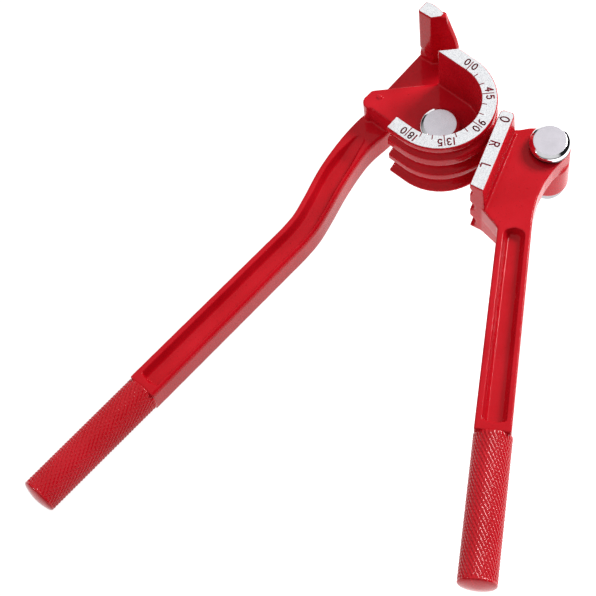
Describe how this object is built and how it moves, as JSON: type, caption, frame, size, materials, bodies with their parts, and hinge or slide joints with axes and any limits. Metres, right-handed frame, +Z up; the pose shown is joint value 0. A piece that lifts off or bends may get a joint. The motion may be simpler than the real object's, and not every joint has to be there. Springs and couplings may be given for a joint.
{
  "type": "manual tube bender",
  "caption": "Hand lever tube bender: grooved half-round die with degree dial and hook, swinging grooved shoe on a link, and long knurled handles.",
  "frame": {"origin": "on the forming axis, at the lower end face of the centre pin", "axes": "+Z up along the forming axis, +X from that axis to the 0 mark of the dial, +Y the way the held tube leaves through the hook; the arm is modelled at a bend of 71.5 degrees"},
  "size_m": [0.2985, 0.2052, 0.06],
  "materials": {
    "red_paint": "gloss enamel over a casting",
    "white_paint": "satin",
    "chrome": "polished, satin on the flat ends",
    "steel": "plain"
  },
  "bodies": {
    "former": {"forming_die": "red_paint", "degree_dial": "white_paint", "former_floor": "red_paint", "former_hub": "red_paint", "hook_plate": "red_paint", "tube_hook": "red_paint", "hook_cap": "white_paint", "hook_gusset": "red_paint", "fixed_handle": "red_paint", "fixed_grip": "red_paint", "centre_pin": "chrome", "centre_ring": "steel"},
    "link": {"link_bar": "chrome", "arm_pin": "chrome", "arm_ring": "steel"},
    "arm": {"bending_shoe": "red_paint", "shoe_scale": "white_paint", "arm_plate": "red_paint", "arm_skirt": "red_paint", "arm_boss": "red_paint", "swing_handle": "red_paint", "swing_grip": "red_paint"}
  },
  "joints": [
    {"name": "link_swing", "type": "hinge", "parent": "former", "child": "link", "pos_m": [0, 0, 0.003], "axis": [0, 0, 1], "range_deg": [-108.5, 71.5]},
    {"name": "arm_swing", "type": "hinge", "parent": "link", "child": "arm", "pos_m": [0.0194, -0.05094, 0.03], "axis": [0, 0, 1], "range_deg": [0, 110]}
  ]
}
